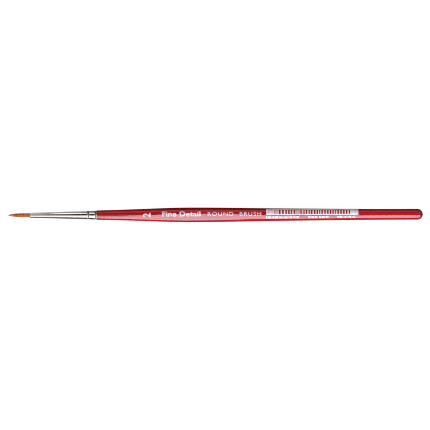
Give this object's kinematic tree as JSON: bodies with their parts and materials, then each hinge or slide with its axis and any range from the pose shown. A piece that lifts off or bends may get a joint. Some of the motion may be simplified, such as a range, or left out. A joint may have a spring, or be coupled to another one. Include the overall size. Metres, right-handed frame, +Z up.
{
  "type": "fine detail brush",
  "caption": "Slim round brush for fine detail: a pointed filament tuft, a crimped tapered metal ferrule and a turned, lacquered wooden handle with a soft belly.",
  "frame": {"origin": "on the surface that the brush lies on, under the middle of its length and straight below its axis", "axes": "+X along the handle towards the butt, with the tuft's point towards -X; +Z up from the surface"},
  "size_m": [0.184, 0.0066, 0.0065],
  "materials": {
    "handle_wood": "turned and sealed",
    "red_lacquer": "gloss",
    "plated_metal": "bright nickel plate",
    "cement": "matt",
    "filament": "satin",
    "thread": "twisted",
    "resin": "glassy"
  },
  "bodies": {
    "brush": {"handle_core": "handle_wood", "handle_lacquer": "red_lacquer", "ferrule": "plated_metal", "ferrule_cement": "cement", "tuft_root": "filament", "root_binding": "thread", "root_resin": "resin"},
    "tuft": {"tuft_free": "filament"}
  },
  "joints": [
    {"name": "tuft_bend", "type": "hinge", "parent": "brush", "child": "tuft", "pos_m": [-0.08274, 0, 0.00325], "axis": [0, 0, 1], "range_deg": [-45, 45], "stiffness_Nm_per_rad": 0.0015}
  ]
}
